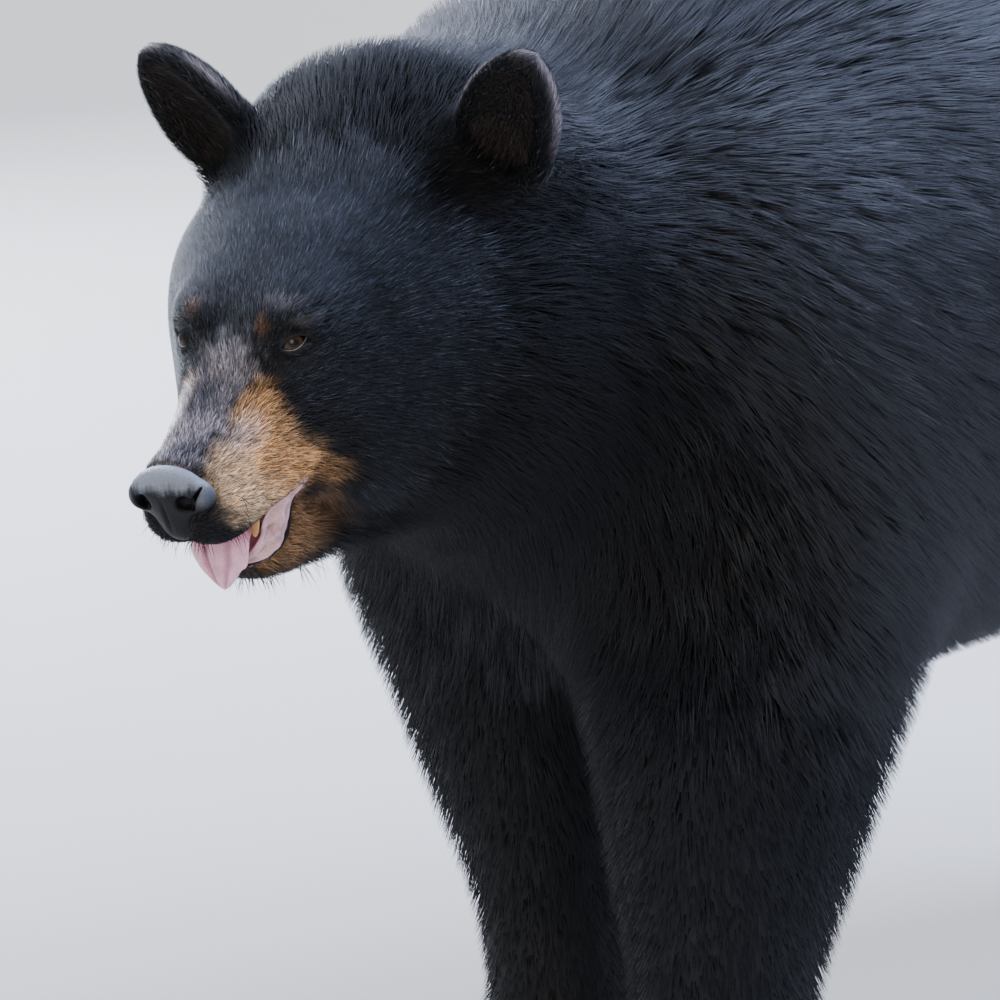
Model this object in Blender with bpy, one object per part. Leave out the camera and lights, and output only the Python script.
"""American black bear, life size, standing on all fours with its head low and turned to its left.

The flesh is shaped to the tips of the coat. Trunk, neck, legs, feet, head and ears are lofts and
ellipsoids that a voxel remesh melts together; thin cuts then part them where a person would
name a new part. Eyes, nose, jaw, tongue, teeth and claws are shapes of their own, let into the
flesh with a small gap. Frame: +Z up, the bear faces -Y, its left side is +X, the feet stand at z = 0.
"""

import math

import bmesh
import bpy
from mathutils import Matrix, Vector

# ---- driving dimensions, in metres and degrees -------------------------------------------------

GAP = 0.0004  # left between pieces that touch

BODY_VOXEL = 0.014
HEAD_VOXEL = 0.0045
BODY_FACES = 1550  # triangles kept on the body before it is parted
HEAD_FACES = 1650

# Head frame: origin at the nose tip, +X the bear's left, +Y back along the skull, +Z up.
NOSE_TIP = Vector((0.045, -0.800, 0.515))
HEAD_TURN = 8.0
HEAD_NOD = 17.0
HEAD_TILT = -5.5

EYE_PLACE = Vector((0.0425, 0.1160, 0.0600))
EYE_RADIUS = 0.0125
EAR_PLACE = Vector((0.108, 0.276, 0.110))
EAR_HALF_DEPTH = 0.020
EAR_LEAN = 33.0  # outward from upright
EAR_SWEEP = 4.0  # opening turned outward from straight ahead
# Ear lobe. Each row: height above the root, half width.
EAR_ROWS = (
    (-0.045, 0.029),
    (-0.020, 0.035),
    (0.010, 0.039),
    (0.040, 0.040),
    (0.068, 0.036),
    (0.086, 0.024),
    (0.095, 0.009),
)
EAR_RIM = 0.011  # width of the rim round the hollow

LEG_SPREAD = 0.138
FORE_LEFT_Y = -0.345
FORE_RIGHT_Y = -0.357
HIND_LEFT_Y = 0.490
HIND_RIGHT_Y = 0.425
CLAW_LENGTH = 0.040
CLAW_RADIUS = 0.0052
CLAW_STEPS = 4
TAIL_PLACE = Vector((0, 0.775, 0.650))
TAIL_LENGTH = 0.125
TAIL_WIDTH = 0.034
TAIL_TILT = 20.0

# Neck and trunk. Each row: y, height of the back, height of the underside, half width,
# height of the widest level, sideways place of the middle.
TRUNK_ROWS = (
    (-0.640, 0.660, 0.560, 0.050, 0.610, 0.012),
    (-0.610, 0.724, 0.500, 0.115, 0.605, 0.012),
    (-0.560, 0.774, 0.455, 0.158, 0.600, 0.010),
    (-0.500, 0.780, 0.415, 0.184, 0.595, 0.006),
    (-0.430, 0.785, 0.372, 0.214, 0.590, 0.002),
    (-0.340, 0.816, 0.305, 0.246, 0.580, 0.000),
    (-0.220, 0.870, 0.278, 0.262, 0.570, 0.000),
    (-0.060, 0.880, 0.290, 0.270, 0.560, 0.000),
    (0.120, 0.868, 0.310, 0.277, 0.560, 0.000),
    (0.280, 0.876, 0.335, 0.281, 0.570, 0.000),
    (0.430, 0.884, 0.385, 0.268, 0.600, 0.000),
    (0.570, 0.852, 0.440, 0.235, 0.610, 0.000),
    (0.680, 0.785, 0.490, 0.180, 0.620, 0.000),
    (0.740, 0.715, 0.530, 0.115, 0.625, 0.000),
    (0.770, 0.640, 0.600, 0.030, 0.620, 0.000),
)

# Legs. Each row: height, outward shift and backward shift of the middle from the leg's place,
# half width, reach forward, reach back.
FORELEG_ROWS = (
    (0.760, -0.060, 0.010, 0.040, 0.050, 0.050),
    (0.700, -0.030, 0.005, 0.085, 0.100, 0.100),
    (0.580, -0.003, 0.000, 0.124, 0.145, 0.150),
    (0.460, 0.004, 0.000, 0.134, 0.145, 0.146),
    (0.370, 0.005, -0.002, 0.130, 0.134, 0.132),
    (0.290, 0.002, -0.004, 0.111, 0.116, 0.113),
    (0.200, -0.003, -0.008, 0.088, 0.094, 0.090),
    (0.130, -0.006, -0.012, 0.070, 0.076, 0.074),
    (0.080, -0.007, -0.016, 0.064, 0.072, 0.070),
    (0.035, -0.007, -0.020, 0.058, 0.064, 0.060),
    (0.010, -0.007, -0.022, 0.040, 0.045, 0.040),
)
HINDLEG_ROWS = (
    (0.800, -0.070, 0.000, 0.040, 0.060, 0.060),
    (0.730, -0.030, -0.005, 0.100, 0.130, 0.120),
    (0.600, 0.000, -0.010, 0.130, 0.175, 0.170),
    (0.470, 0.010, -0.030, 0.128, 0.170, 0.165),
    (0.370, 0.010, -0.030, 0.110, 0.140, 0.135),
    (0.280, 0.004, 0.000, 0.086, 0.108, 0.104),
    (0.200, -0.002, 0.035, 0.068, 0.082, 0.076),
    (0.130, -0.004, 0.052, 0.060, 0.072, 0.066),
    (0.070, -0.004, 0.052, 0.056, 0.070, 0.062),
    (0.025, -0.004, 0.046, 0.050, 0.065, 0.056),
    (0.010, -0.004, 0.040, 0.038, 0.050, 0.042),
)
# Each foreleg's lean: how far its foot stands inward and back of its shoulder.
FORE_RIGHT_LEAN = (0.038, 0.113)

# Feet. Each row: place along the foot from the heel, height, half width.
FOREFOOT_ROWS = (
    (-0.050, 0.030, 0.030),
    (-0.035, 0.055, 0.050),
    (0.000, 0.078, 0.060),
    (0.045, 0.066, 0.063),
    (0.085, 0.050, 0.062),
    (0.110, 0.030, 0.050),
)
HINDFOOT_ROWS = (
    (-0.120, 0.030, 0.024),
    (-0.105, 0.055, 0.040),
    (-0.060, 0.080, 0.050),
    (0.000, 0.072, 0.054),
    (0.050, 0.060, 0.060),
    (0.085, 0.048, 0.060),
    (0.108, 0.030, 0.048),
)
# The arched cut that parts a leg from the trunk. Each leg: name, side, y, height of the arch,
# half width, half length, height of the elbow cut, height of the ankle cut.
LEG_CUTS = (
    ("fore_left", 1, FORE_LEFT_Y, 0.58, 0.150, 0.175, 0.270, 0.085),
    ("fore_right", -1, FORE_RIGHT_Y + 0.01, 0.58, 0.150, 0.180, 0.270, 0.085),
    ("hind_left", 1, HIND_LEFT_Y, 0.62, 0.155, 0.215, 0.290, 0.100),
    ("hind_right", -1, HIND_RIGHT_Y, 0.62, 0.155, 0.215, 0.290, 0.100),
)
ARCH_CLEARANCE = 0.004  # from the mid-plane to the arch
# Where the trunk is cut.
SHOULDER_CUT_Y = -0.38
SHOULDER_CUT_TILT = -20.0
CHEST_END_Y = -0.06
RUMP_START_Y = 0.30
TAIL_ROOT = Vector((0, 0.766, 0.650))
NAPE_CUT = 0.300  # along the skull from the nose tip
TOE_COUNT = 5
TOE_RADIUS = 0.0165
SOLE_SINK = 0.006  # the soles are shaped this far below the floor, then cut flat on it

# Skull and upper muzzle in the head frame. Each row: y, top, bottom, half width, widest level.
SKULL_ROWS = (
    (0.006, 0.010, -0.022, 0.014, -0.008),
    (0.014, 0.018, -0.034, 0.026, -0.012),
    (0.035, 0.027, -0.040, 0.034, -0.014),
    (0.060, 0.037, -0.042, 0.044, -0.013),
    (0.085, 0.050, -0.046, 0.053, -0.012),
    (0.105, 0.070, -0.056, 0.066, -0.010),
    (0.125, 0.090, -0.078, 0.082, -0.008),
    (0.150, 0.105, -0.092, 0.103, -0.006),
    (0.180, 0.118, -0.102, 0.128, -0.002),
    (0.215, 0.127, -0.110, 0.149, 0.002),
    (0.255, 0.136, -0.116, 0.158, 0.006),
    (0.295, 0.156, -0.116, 0.162, 0.008),
    (0.335, 0.164, -0.106, 0.156, 0.010),
    (0.370, 0.100, -0.080, 0.110, 0.010),
    (0.390, 0.030, -0.020, 0.040, 0.010),
)
# Flesh laid on each side of the muzzle and over each eye: middle, radii, turn outward.
WHISKER_PAD = ((0.018, 0.034, -0.022), (0.021, 0.030, 0.020), 0.0)
BROW = ((0.036, 0.146, 0.072), (0.030, 0.036, 0.021), 20.0)
SOCKET_RADIUS = 0.022
SOCKET_DEPTH = 0.0035

# Nose pad: the broad upper form, the tip over the lip, and one nostril, as middle and radii.
NOSE_UPPER = ((0.0, 0.014, 0.000), (0.029, 0.017, 0.019))
NOSE_LOWER = ((0.0, 0.010, -0.012), (0.015, 0.012, 0.016))
NOSTRIL = ((0.0145, 0.000, -0.001), (0.0055, 0.006, 0.004))
NOSE_VOXEL = 0.002
NOSE_FACES = 160
CANINE_ROOT = Vector((0.0270, 0.046, -0.028))
CANINE_LENGTH = 0.023
CANINE_RADIUS = 0.0048
CANINE_STEPS = 4

# Lower jaw, a little open. Same columns. It is parted from the head below the mouth's corner.
MOUTH_LEVEL = -0.0475
JAW_BACK = 0.118
JAW_ROWS = (
    (0.030, -0.066, -0.072, 0.008, -0.068),
    (0.036, -0.060, -0.079, 0.018, -0.068),
    (0.052, -0.056, -0.086, 0.025, -0.069),
    (0.078, -0.050, -0.092, 0.030, -0.069),
    (0.105, -0.044, -0.099, 0.037, -0.070),
    (0.135, -0.040, -0.108, 0.048, -0.074),
    (0.165, -0.045, -0.114, 0.058, -0.080),
    (0.185, -0.060, -0.108, 0.050, -0.085),
    (0.192, -0.075, -0.090, 0.020, -0.084),
)
# Tongue: its middle line in the head frame with half width and half thickness.
TONGUE_ROWS = (
    (0.000, 0.0900, -0.0450, 0.0130, 0.0030),
    (0.001, 0.0700, -0.0475, 0.0160, 0.0032),
    (0.001, 0.0500, -0.0500, 0.0165, 0.0032),
    (0.000, 0.0340, -0.0530, 0.0160, 0.0032),
    (0.000, 0.0260, -0.0590, 0.0155, 0.0032),
    (-0.001, 0.0240, -0.0670, 0.0145, 0.0030),
    (-0.002, 0.0250, -0.0740, 0.0105, 0.0026),
    (-0.002, 0.0265, -0.0780, 0.0040, 0.0018),
)

HEAD = (
    Matrix.Translation(NOSE_TIP)
    @ Matrix.Rotation(math.radians(HEAD_TURN), 4, "Z")
    @ Matrix.Rotation(math.radians(HEAD_NOD), 4, "X")
    @ Matrix.Rotation(math.radians(HEAD_TILT), 4, "Y")
)
# A loft's own frame is (across, up, along); these place it in the world.
ALONG_Y = Matrix(((1, 0, 0, 0), (0, 0, 1, 0), (0, 1, 0, 0), (0, 0, 0, 1)))
ALONG_HEAD = HEAD @ ALONG_Y


# ---- shaping tools --------------------------------------------------------------------------------


def clear_scene():
    """Remove what the startup file holds."""
    for thing in list(bpy.data.objects):
        bpy.data.objects.remove(thing, do_unlink=True)


def material(name, colour, roughness, metallic=0.0):
    """Return a plain Principled material."""
    made = bpy.data.materials.new(name)
    made.use_nodes = True
    shader = made.node_tree.nodes["Principled BSDF"]
    shader.inputs["Base Color"].default_value = (*colour, 1.0)
    shader.inputs["Roughness"].default_value = roughness
    shader.inputs["Metallic"].default_value = metallic
    return made


def from_bmesh(name, shape):
    """Turn a bmesh into an object in the scene, its faces pointing outward."""
    bmesh.ops.recalc_face_normals(shape, faces=shape.faces)
    mesh = bpy.data.meshes.new(name)
    shape.to_mesh(mesh)
    shape.free()
    made = bpy.data.objects.new(name, mesh)
    bpy.context.scene.collection.objects.link(made)
    return made


def spline(rows, steps):
    """Return rows on a smooth Catmull-Rom curve through the given rows, `steps` to each span."""
    points = [Vector(row) for row in rows]
    ends = [2 * points[0] - points[1], *points, 2 * points[-1] - points[-2]]
    smooth = []
    for before, start, end, after in zip(ends, ends[1:], ends[2:], ends[3:]):
        for step in range(steps):
            t = step / steps
            pull = (end - before) * t + (2 * before - 5 * start + 4 * end - after) * t * t
            bend = (3 * start - before - 3 * end + after) * t * t * t
            smooth.append(start + 0.5 * (pull + bend))
    smooth.append(points[-1])
    return smooth


def loft(name, rings, place=None):
    """Skin a row of closed rings of points, with both ends filled."""
    shape = bmesh.new()
    loops = []
    for ring in rings:
        corners = [shape.verts.new(point) for point in ring]
        loops.append([shape.edges.new((a, b)) for a, b in zip(corners, corners[1:] + corners[:1])])
    for near, far in zip(loops, loops[1:]):
        bmesh.ops.bridge_loops(shape, edges=near + far)
    bmesh.ops.holes_fill(shape, edges=loops[0] + loops[-1])
    if place:
        bmesh.ops.transform(shape, matrix=place, verts=shape.verts)
    return from_bmesh(name, shape)


def egg_ring(middle, along, half_width, up, down, sides=28, square=2.0):
    """Return a closed ring about a middle (across, height), rounder or squarer as `square` says."""
    ring = []
    for side in range(sides):
        angle = 2 * math.pi * side / sides
        across = math.copysign(abs(math.cos(angle)) ** (2 / square), math.cos(angle))
        rise = math.copysign(abs(math.sin(angle)) ** (2 / square), math.sin(angle))
        reach = up if rise > 0 else down
        ring.append((middle[0] + half_width * across, middle[1] + reach * rise, along))
    return ring


def ellipsoid(name, centre, radii, turn=None, rings=16):
    """Make an ellipsoid, turned by an optional rotation matrix."""
    shape = bmesh.new()
    bmesh.ops.create_uvsphere(shape, u_segments=2 * rings, v_segments=rings, radius=1)
    place = Matrix.Translation(centre) @ (turn or Matrix()) @ Matrix.Diagonal((*radii, 1))
    bmesh.ops.transform(shape, matrix=place, verts=shape.verts)
    return from_bmesh(name, shape)


def block(name, low, high, place=None):
    """Make a box between two corners."""
    shape = bmesh.new()
    bmesh.ops.create_cube(shape, size=1)
    low, high = Vector(map(min, low, high)), Vector(map(max, low, high))
    fit = Matrix.Translation((low + high) / 2) @ Matrix.Diagonal((*(high - low), 1))
    bmesh.ops.transform(shape, matrix=(place or Matrix()) @ fit, verts=shape.verts)
    return from_bmesh(name, shape)


def sweep(name, rows, place, sides=10):
    """Skin flat oval rings along a path of rows (x, y, z, half width, half thickness).

    The path bends in the plane x = constant, and the width lies across it.
    """
    rings = []
    for index, row in enumerate(rows):
        before = Vector(rows[max(index - 1, 0)][:3])
        after = Vector(rows[min(index + 1, len(rows) - 1)][:3])
        thick = (after - before).cross(Vector((1, 0, 0))).normalized()
        ring = []
        for side in range(sides):
            angle = 2 * math.pi * side / sides
            across = Vector((row[3] * math.cos(angle), 0, 0))
            ring.append(Vector(row[:3]) + across + thick * row[4] * math.sin(angle))
        rings.append(ring)
    return loft(name, rings, place)


def bake(thing):
    """Replace an object's mesh by what its modifiers make of it."""
    graph = bpy.context.evaluated_depsgraph_get()
    mesh = bpy.data.meshes.new_from_object(thing.evaluated_get(graph))
    thing.modifiers.clear()
    thing.data = mesh
    return thing


def drop(*things):
    """Delete helpers that have done their work."""
    for thing in things:
        bpy.data.objects.remove(thing, do_unlink=True)


def join(name, things):
    """Return one object holding all the given meshes, and delete the originals."""
    shape = bmesh.new()
    for thing in things:
        shape.from_mesh(thing.data)
    drop(*things)
    mesh = bpy.data.meshes.new(name)
    shape.to_mesh(mesh)
    shape.free()
    made = bpy.data.objects.new(name, mesh)
    bpy.context.scene.collection.objects.link(made)
    return made


def boolean(thing, tool, operation, solver="EXACT"):
    """Cut, keep or add a tool's space, and bake the result."""
    step = thing.modifiers.new(operation.title(), "BOOLEAN")
    step.operation = operation
    step.solver = solver
    step.object = tool
    return bake(thing)


def melt(thing, voxel, rounds):
    """Fuse overlapping shapes into one skin and soften where they meet."""
    fuse = thing.modifiers.new("Fuse", "REMESH")
    fuse.mode = "VOXEL"
    fuse.voxel_size = voxel
    soften = thing.modifiers.new("Soften", "SMOOTH")
    soften.factor = 0.5
    soften.iterations = rounds
    return bake(thing)


def thin_out(thing, faces):
    """Bring a mesh down to about the given number of triangles."""
    count = sum(len(face.vertices) - 2 for face in thing.data.polygons)
    fewer = thing.modifiers.new("Thin", "DECIMATE")
    fewer.ratio = min(1.0, faces / count)
    return bake(thing)


def grown(thing, by):
    """Return a copy of an object with its skin moved outward."""
    copy = bpy.data.objects.new(thing.name + "_grown", thing.data.copy())
    bpy.context.scene.collection.objects.link(copy)
    shape = bmesh.new()
    shape.from_mesh(copy.data)
    shape.normal_update()
    offsets = [(corner, corner.normal * corner.calc_shell_factor() * by) for corner in shape.verts]
    for corner, offset in offsets:
        corner.co += offset
    shape.to_mesh(copy.data)
    shape.free()
    return copy


def let_in(host, insert, solver="EXACT"):
    """Cut room for an insert into its host, GAP wider than the insert."""
    room = grown(insert, GAP)
    boolean(host, room, "DIFFERENCE", solver)
    drop(room)


def flat_faced(thing):
    """Turn every face into triangles, so that bent faces fold the same way in each copy."""
    shape = bmesh.new()
    shape.from_mesh(thing.data)
    bmesh.ops.triangulate(shape, faces=shape.faces[:])
    shape.to_mesh(thing.data)
    shape.free()
    return thing


def split(name, thing, tool, solver="EXACT"):
    """Part an object: what lies in the tool's space becomes a new object, GAP from the rest."""
    part = bpy.data.objects.new(name, thing.data.copy())
    bpy.context.scene.collection.objects.link(part)
    boolean(part, tool, "INTERSECT", solver)
    let_in(thing, tool, solver)
    drop(tool)
    return part


def finish(thing, look):
    """Give a piece its material and smooth shading with crisp cut edges."""
    thing.data.materials.clear()
    thing.data.materials.append(look)
    thing.data.shade_smooth()
    thing.data.set_sharp_from_angle(angle=math.radians(50))


# ---- flesh ------------------------------------------------------------------------------------------


def trunk_form():
    """Loft neck and trunk from the nape to the rump."""
    rings = []
    for y, back, under, half_width, level, shift in spline(TRUNK_ROWS, 3):
        rings.append(egg_ring((shift, level), y, half_width, back - level, level - under))
    return loft("trunk_form", rings, ALONG_Y)


def leg_form(rows, side, y_place, lean=(0.0, 0.0)):
    """Loft one leg from inside the trunk to the foot. Side is 1 on the left, -1 on the right."""
    rings = []
    top = rows[0][0]
    for z, out, back, half_width, ahead, behind in spline(rows, 3):
        low = 1 - z / top
        x = side * (LEG_SPREAD + out - lean[0] * low)
        y = y_place + back + lean[1] * low
        rings.append(
            [
                (px, py, z)
                for px, py, _ in egg_ring((x, y), 0, half_width, behind, ahead)
            ]
        )
    return loft("leg_form", rings)


def toe_places(length, half_width):
    """Return the middles of a foot's five toes, as (across, ahead), inner to outer."""
    places = []
    for toe in range(TOE_COUNT):
        across = (toe / (TOE_COUNT - 1) - 0.5) * 2
        places.append((across * (half_width - TOE_RADIUS * 0.7), length - 0.022 * across * across))
    return places


def foot_frame(x, y):
    """Place a foot: +X left, +Y back, at its ankle on the floor."""
    return Matrix.Translation((x, y, 0))


def foot_forms(rows, place):
    """Loft one foot and add its toes."""
    rings = []
    for ahead, height, half_width in spline(rows, 3):
        middle = (0, height * 0.40 - SOLE_SINK)
        rings.append(egg_ring(middle, -ahead, half_width, height * 0.60, height * 0.40, square=2.5))
    forms = [loft("foot_form", rings, place @ ALONG_Y)]
    for across, ahead in toe_places(rows[-1][0], rows[-2][2]):
        centre = place @ Vector((across, -ahead, TOE_RADIUS * 0.95))
        radii = (TOE_RADIUS * 0.82, TOE_RADIUS * 1.3, TOE_RADIUS * 1.05)
        forms.append(ellipsoid("toe_form", centre, radii, rings=8))
    return forms


def tail_form():
    """Make the short tail, hanging against the rump."""
    turn = Matrix.Rotation(math.radians(TAIL_TILT), 4, "X")
    return ellipsoid("tail_form", TAIL_PLACE, (TAIL_WIDTH, TAIL_WIDTH, TAIL_LENGTH * 0.62), turn)


FEET = {
    "fore_left": (FOREFOOT_ROWS, LEG_SPREAD - 0.007, FORE_LEFT_Y - 0.022),
    "fore_right": (
        FOREFOOT_ROWS,
        -(LEG_SPREAD - 0.007 - FORE_RIGHT_LEAN[0]),
        FORE_RIGHT_Y - 0.022 + FORE_RIGHT_LEAN[1],
    ),
    "hind_left": (HINDFOOT_ROWS, LEG_SPREAD - 0.004, HIND_LEFT_Y + 0.005),
    "hind_right": (HINDFOOT_ROWS, -(LEG_SPREAD - 0.004), HIND_RIGHT_Y + 0.005),
}


def skull_form(name, rows, square):
    """Loft a part of the head along the skull."""
    rings = []
    for y, top, bottom, half_width, level in spline(rows, 3):
        ring = egg_ring((0, level), y, half_width, top - level, level - bottom, square=square)
        rings.append(ring)
    return loft(name, rings, ALONG_HEAD)


def head_lump(side, centre, radii, turn):
    """Make an ellipsoid of flesh on one side of the head."""
    place = HEAD @ Matrix.Translation((side * centre[0], centre[1], centre[2]))
    spin = Matrix.Rotation(math.radians(side * turn), 4, "Z")
    return ellipsoid("head_lump", place.translation, radii, HEAD.to_3x3().to_4x4() @ spin)


def ear_frame(side):
    """Place an ear: +X its left, +Y behind its back, +Z from root to tip."""
    spot = Matrix.Translation((side * EAR_PLACE.x, EAR_PLACE.y, EAR_PLACE.z))
    lean = Matrix.Rotation(math.radians(side * EAR_LEAN), 4, "Y")
    sweep_out = Matrix.Rotation(math.radians(side * EAR_SWEEP), 4, "Z")
    return HEAD @ spot @ lean @ sweep_out


def ear_form(side):
    """Make one ear: a lobe with a round tip, hollowed in front."""
    frame = ear_frame(side)
    thickest = EAR_ROWS[2][1]
    rings = []
    for rise, half_width in spline(EAR_ROWS, 3):
        depth = EAR_HALF_DEPTH * (half_width / thickest) ** 0.7
        rings.append([(x, y, rise) for x, y, _ in egg_ring((0, 0), 0, half_width, depth, depth)])
    lobe = loft("ear_lobe", rings, frame)
    middle = 0.030
    hollow_radii = (thickest - EAR_RIM, EAR_HALF_DEPTH * 1.1, EAR_ROWS[-1][0] - EAR_RIM - middle)
    turn = frame.to_3x3().to_4x4()
    hollow = ellipsoid("ear_hollow", frame @ Vector((0, -EAR_HALF_DEPTH, middle)), hollow_radii, turn)
    boolean(lobe, hollow, "DIFFERENCE")
    drop(hollow)
    return lobe


def body_blank():
    """Melt trunk, legs, feet and tail into one skin, with flat soles."""
    forms = [
        trunk_form(),
        leg_form(FORELEG_ROWS, 1, FORE_LEFT_Y),
        leg_form(FORELEG_ROWS, -1, FORE_RIGHT_Y, FORE_RIGHT_LEAN),
        leg_form(HINDLEG_ROWS, 1, HIND_LEFT_Y),
        leg_form(HINDLEG_ROWS, -1, HIND_RIGHT_Y),
        tail_form(),
    ]
    for rows, x, y in FEET.values():
        forms += foot_forms(rows, foot_frame(x, y))
    blank = melt(join("body", forms), BODY_VOXEL, 8)
    thin_out(blank, BODY_FACES)
    return blank


def head_blank():
    """Melt skull, muzzle, jaw, brows and ears into one skin."""
    forms = [
        skull_form("skull_form", SKULL_ROWS, 2.5),
        skull_form("jaw_form", JAW_ROWS, 2.2),
    ]
    for side in (1, -1):
        forms += [
            head_lump(side, *WHISKER_PAD),
            head_lump(side, *BROW),
            ear_form(side),
        ]
    return melt(join("head", forms), HEAD_VOXEL, 6)


def press(thing, centre, radius, depth):
    """Dent the skin round a point inward, softly to the rim of the radius."""
    shape = bmesh.new()
    shape.from_mesh(thing.data)
    shape.normal_update()
    moves = []
    for corner in shape.verts:
        away = (corner.co - centre).length / radius
        if away < 1:
            moves.append((corner, corner.normal * depth * (1 - away * away) ** 2))
    for corner, move in moves:
        corner.co -= move
    shape.to_mesh(thing.data)
    shape.free()


# ---- the bear ---------------------------------------------------------------------------------------


def leg_arch(side, y, top, half_width, half_length):
    """Make the cutter that frees one leg: a round-topped post, wide at the floor."""
    shape = (
        (-0.05, 1.13, 1.50),
        (0.25, 1.13, 1.50),
        (0.33, 1.00, 1.00),
        (top * 0.75, 0.96, 0.96),
        (top * 0.92, 0.70, 0.70),
        (top, 0.20, 0.20),
    )
    rings = []
    for z, wide, long in shape:
        reach = half_length * long
        middle = (side * (half_width * wide + ARCH_CLEARANCE), y)
        ring = egg_ring(middle, 0, half_width * wide, reach, reach, sides=12)
        rings.append([(px, py, z) for px, py, _ in ring])
    return flat_faced(loft("leg_arch", rings))


def build_legs(body, flesh):
    """Part the four legs from the trunk, and each into upper leg, lower leg and foot."""
    for name, side, y, top, half_width, half_length, elbow, ankle in LEG_CUTS:
        arch = leg_arch(side, y, top, half_width, half_length)
        upper = split("upper_leg_" + name, body, arch, "MANIFOLD")
        lower = split("lower_leg_" + name, upper, block("below_elbow", (-1, -1, -1), (1, 1, elbow)))
        foot = split("foot_" + name, lower, block("below_ankle", (-1, -1, -1), (1, 1, ankle)))
        for piece in (upper, lower, foot):
            finish(piece, flesh)


def claw_rows(ahead, across):
    """Return one claw's rows, curving forward and down from inside a toe."""
    rows = []
    for step in range(CLAW_STEPS + 1):
        t = step / CLAW_STEPS
        radius = CLAW_RADIUS * (1 - t) ** 0.6 + 0.0004
        swing = math.radians(20 + 75 * t)
        y = -ahead - CLAW_LENGTH * math.sin(swing) + 0.012
        z = 0.004 + CLAW_LENGTH * 0.75 * math.cos(swing)
        rows.append((across, y, z, radius * 0.75, radius * 1.1))
    return rows


def build_claws(horn):
    """Make five claws on each foot and let them into the toes."""
    for name, (rows, x, y) in FEET.items():
        foot = bpy.data.objects["foot_" + name]
        for number, (across, ahead) in enumerate(toe_places(rows[-1][0], rows[-2][2]), 1):
            claw = sweep(f"claw_{name}_{number}", claw_rows(ahead, across), foot_frame(x, y), sides=6)
            let_in(foot, claw, "MANIFOLD")  # the exact solver misses some of these slim roots
            finish(claw, horn)


def build_body(flesh, horn):
    """Make the body and part it into neck, chest, belly, rump, tail and legs."""
    body = body_blank()
    floor = block("below_floor", (-1, -1, -1), (1, 1, 0))
    boolean(body, floor, "DIFFERENCE")
    drop(floor)
    build_legs(body, flesh)
    tail_cut = Matrix.Translation(TAIL_ROOT) @ Matrix.Rotation(math.radians(TAIL_TILT), 4, "X")
    tail = split("tail", body, block("behind_rump", (-0.06, 0, -0.12), (0.06, 0.2, 0.12), tail_cut))
    tilt = Matrix.Rotation(math.radians(SHOULDER_CUT_TILT), 4, "X")
    slope = Matrix.Translation((0, SHOULDER_CUT_Y, 0.6)) @ tilt
    neck = split("neck", body, block("ahead_of_chest", (-1, -1, -1), (1, 0, 1), slope))
    chest = split("chest", body, block("ahead_of_belly", (-1, -1, -1), (1, CHEST_END_Y, 2)))
    rump = split("rump", body, block("behind_belly", (-1, RUMP_START_Y, -1), (1, 2, 2)))
    body.name = "belly"
    for piece in (body, chest, rump, neck, tail):
        finish(piece, flesh)
    build_claws(horn)
    return neck


def build_head(neck, flesh, ear_skin):
    """Make the head, its ears, and the cut at the nape."""
    nape = block("behind_nape", (-1, NAPE_CUT, -1), (1, 2, 1), HEAD)
    head = head_blank()
    for side in (1, -1):
        socket = HEAD @ Vector((side * (EYE_PLACE.x + 0.003), EYE_PLACE.y - 0.004, EYE_PLACE.z))
        press(head, socket, SOCKET_RADIUS, SOCKET_DEPTH)
    thin_out(head, HEAD_FACES)
    boolean(head, nape, "DIFFERENCE")
    front = block("ahead_of_nape", (-1, -1, -1), (1, NAPE_CUT + GAP, 1), HEAD)
    boolean(neck, front, "DIFFERENCE")
    drop(nape, front)
    for side, name in ((1, "left"), (-1, "right")):
        inner = Vector((-side * 0.048, -0.034, 0.0))
        outer = Vector((side * 0.070, 0.032, 0.2))
        cut = block("above_ear_root", inner, outer, ear_frame(side))
        finish(split("ear_" + name, head, cut), ear_skin)
    finish(head, flesh)
    return head


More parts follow.
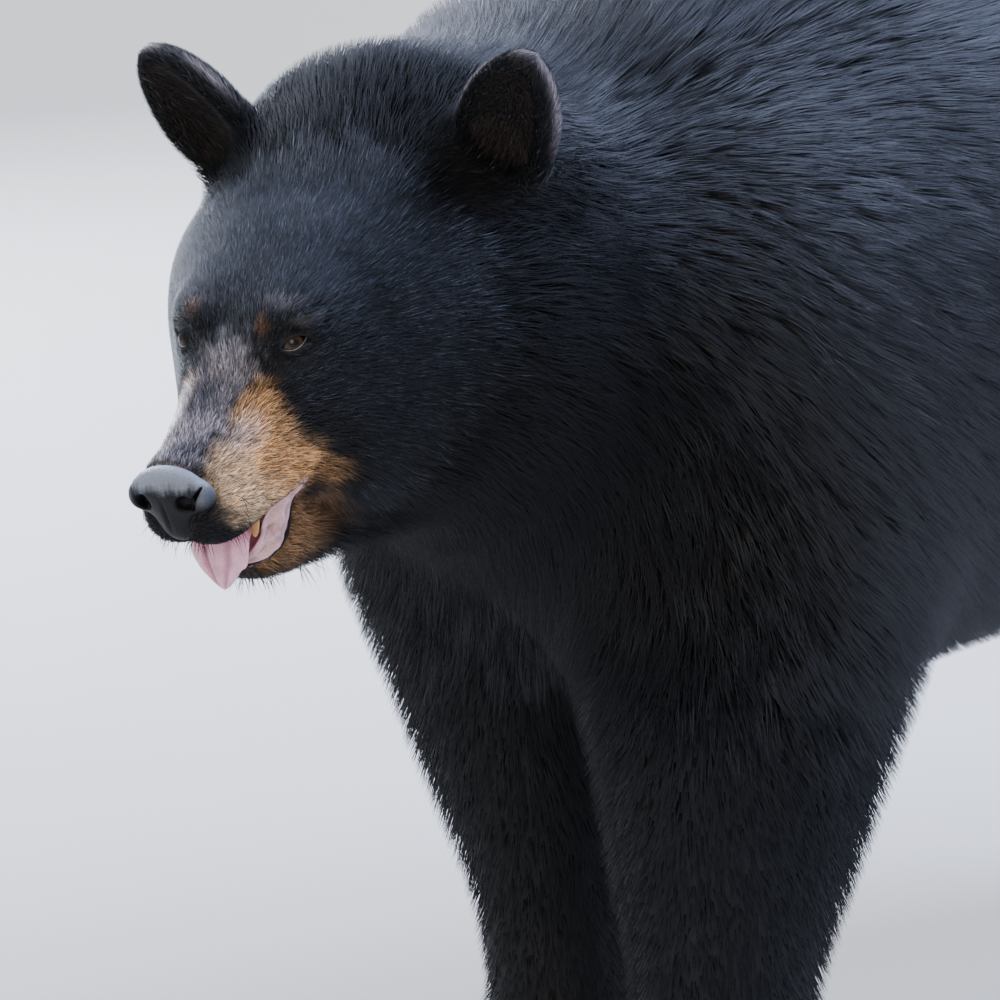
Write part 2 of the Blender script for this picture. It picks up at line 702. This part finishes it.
def build_face(head):
    """Make eyes, nose pad, lower jaw, tongue and teeth, and let them into the head."""
    amber = material("Eye", (0.030, 0.012, 0.006), 0.08)
    wet = material("Nose", (0.018, 0.018, 0.022), 0.35)
    pink = material("Tongue", (0.62, 0.25, 0.28), 0.35)
    ivory = material("Ivory", (0.78, 0.70, 0.52), 0.3)
    flesh = bpy.data.materials["Black coat"]
    below_mouth = block("below_mouth", (-0.2, -0.1, -0.3), (0.2, JAW_BACK, MOUTH_LEVEL), HEAD)
    jaw = split("lower_jaw", head, below_mouth)
    tongue = sweep("tongue", [tuple(row) for row in spline(TONGUE_ROWS, 2)], HEAD, 8)
    let_in(jaw, tongue)
    let_in(head, tongue)
    nose = nose_pad()
    let_in(head, nose)
    for side, name in ((1, "left"), (-1, "right")):
        spot = HEAD @ Vector((side * EYE_PLACE.x, EYE_PLACE.y, EYE_PLACE.z))
        eye = ellipsoid("eye_" + name, spot, (EYE_RADIUS,) * 3, rings=7)
        let_in(head, eye)
        finish(eye, amber)
        tooth = canine("canine_" + name, side)
        let_in(head, tooth)
        finish(tooth, ivory)
    finish(jaw, flesh)
    finish(tongue, pink)
    finish(nose, wet)


def head_ellipsoid(name, centre, radii, rings=16):
    """Make an ellipsoid set square to the head."""
    return ellipsoid(name, HEAD @ Vector(centre), radii, HEAD.to_3x3().to_4x4(), rings)


def nose_pad():
    """Make the broad nose pad with its two nostrils."""
    forms = [head_ellipsoid("nose_upper", *NOSE_UPPER), head_ellipsoid("nose_lower", *NOSE_LOWER)]
    nose = thin_out(melt(join("nose_pad", forms), NOSE_VOXEL, 3), NOSE_FACES)
    (out, back, up), radii = NOSTRIL
    for side in (1, -1):
        hole = head_ellipsoid("nostril", (side * out, back, up), radii, rings=4)
        boolean(nose, hole, "DIFFERENCE")
        drop(hole)
    return nose


def canine(name, side):
    """Make one upper canine tooth, its root in the muzzle."""
    rows = []
    for step in range(CANINE_STEPS + 1):
        t = step / CANINE_STEPS
        radius = CANINE_RADIUS * (1 - t) ** 0.7 + 0.0004
        y = CANINE_ROOT.y - 0.003 * t
        z = CANINE_ROOT.z - CANINE_LENGTH * t
        rows.append((side * CANINE_ROOT.x, y, z, radius, radius))
    return sweep(name, rows, HEAD, 6)


def centre_on_origin():
    """Move the whole bear so that its box stands centred over the origin."""
    bpy.context.view_layer.update()
    corners = []
    for thing in bpy.data.objects:
        corners += [thing.matrix_world @ point.co for point in thing.data.vertices]
    shift = Matrix.Translation(
        (
            -(min(c.x for c in corners) + max(c.x for c in corners)) / 2,
            -(min(c.y for c in corners) + max(c.y for c in corners)) / 2,
            -min(c.z for c in corners),
        )
    )
    for thing in bpy.data.objects:
        thing.data.transform(shift)


def main():
    """Build the bear."""
    clear_scene()
    flesh = material("Black coat", (0.012, 0.012, 0.015), 0.75)
    horn = material("Claw horn", (0.03, 0.027, 0.025), 0.4)
    ear_skin = material("Ear coat", (0.020, 0.016, 0.015), 0.8)
    neck = build_body(flesh, horn)
    head = build_head(neck, flesh, ear_skin)
    build_face(head)
    centre_on_origin()


main()
